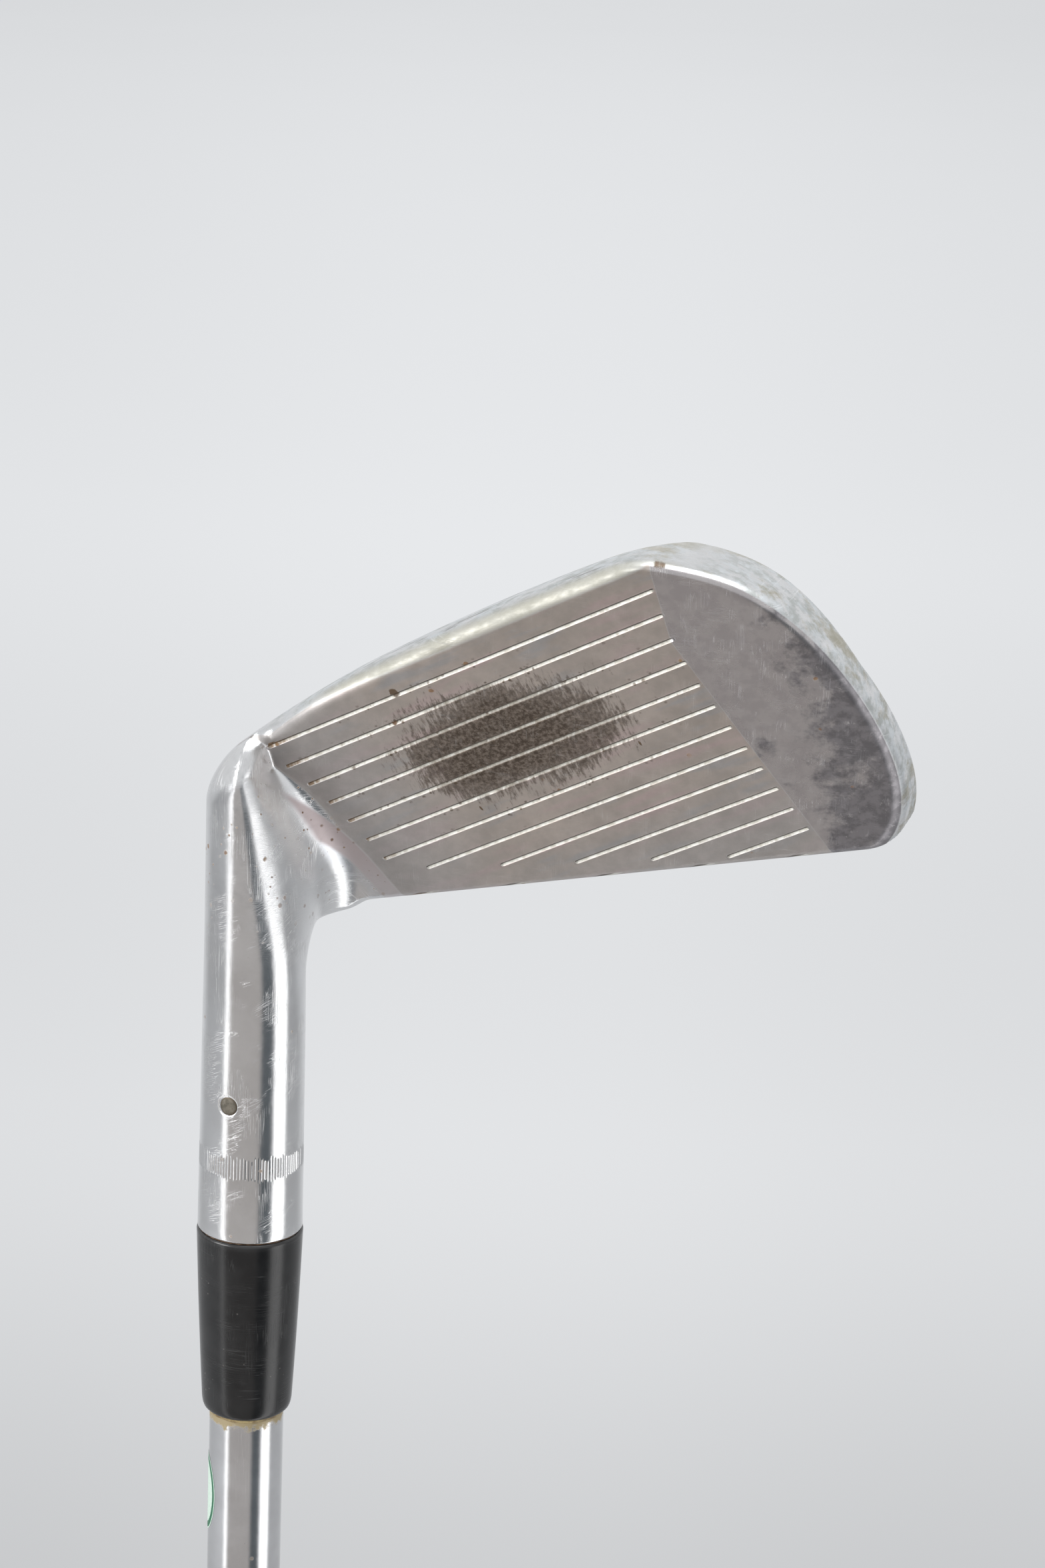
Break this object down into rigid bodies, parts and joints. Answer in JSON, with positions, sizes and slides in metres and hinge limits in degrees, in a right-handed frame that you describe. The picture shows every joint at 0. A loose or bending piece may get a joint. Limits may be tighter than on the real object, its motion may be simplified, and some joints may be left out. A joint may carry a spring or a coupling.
{
  "type": "iron golf club",
  "caption": "Right-handed blade iron golf club: forged lofted head with score lines, pinned hosel, ferrule, stepped steel shaft and tapered rubber grip.",
  "frame": {"origin": "centre of the vent hole's mouth in the flat butt end of the grip cap", "axes": "+Z along the shaft from the butt to the head, +X towards the toe, -Y the way the face looks at address"},
  "size_m": [0.0911, 0.0425, 0.9655],
  "materials": {
    "head_chrome": "polished chrome, scratched and lightly rusted, with a blasted face",
    "pin_steel": "dull filed steel",
    "bond": "cured resin",
    "ferrule_plastic": "polished black",
    "shaft_chrome": "polished chrome",
    "plug_cork": "cork",
    "label_paper": "satin, dark green border",
    "tape_paper": "matt",
    "grip_rubber": "matt, textured",
    "cap_rubber": "matt"
  },
  "bodies": {
    "root": {"head": "head_chrome", "hosel_pin": "pin_steel", "hosel_epoxy": "bond", "ferrule": "ferrule_plastic", "shaft": "shaft_chrome", "shaft_tip_plug": "plug_cork", "shaft_label": "label_paper", "grip_tape": "tape_paper", "grip": "grip_rubber", "grip_cap": "cap_rubber"}
  },
  "joints": []
}
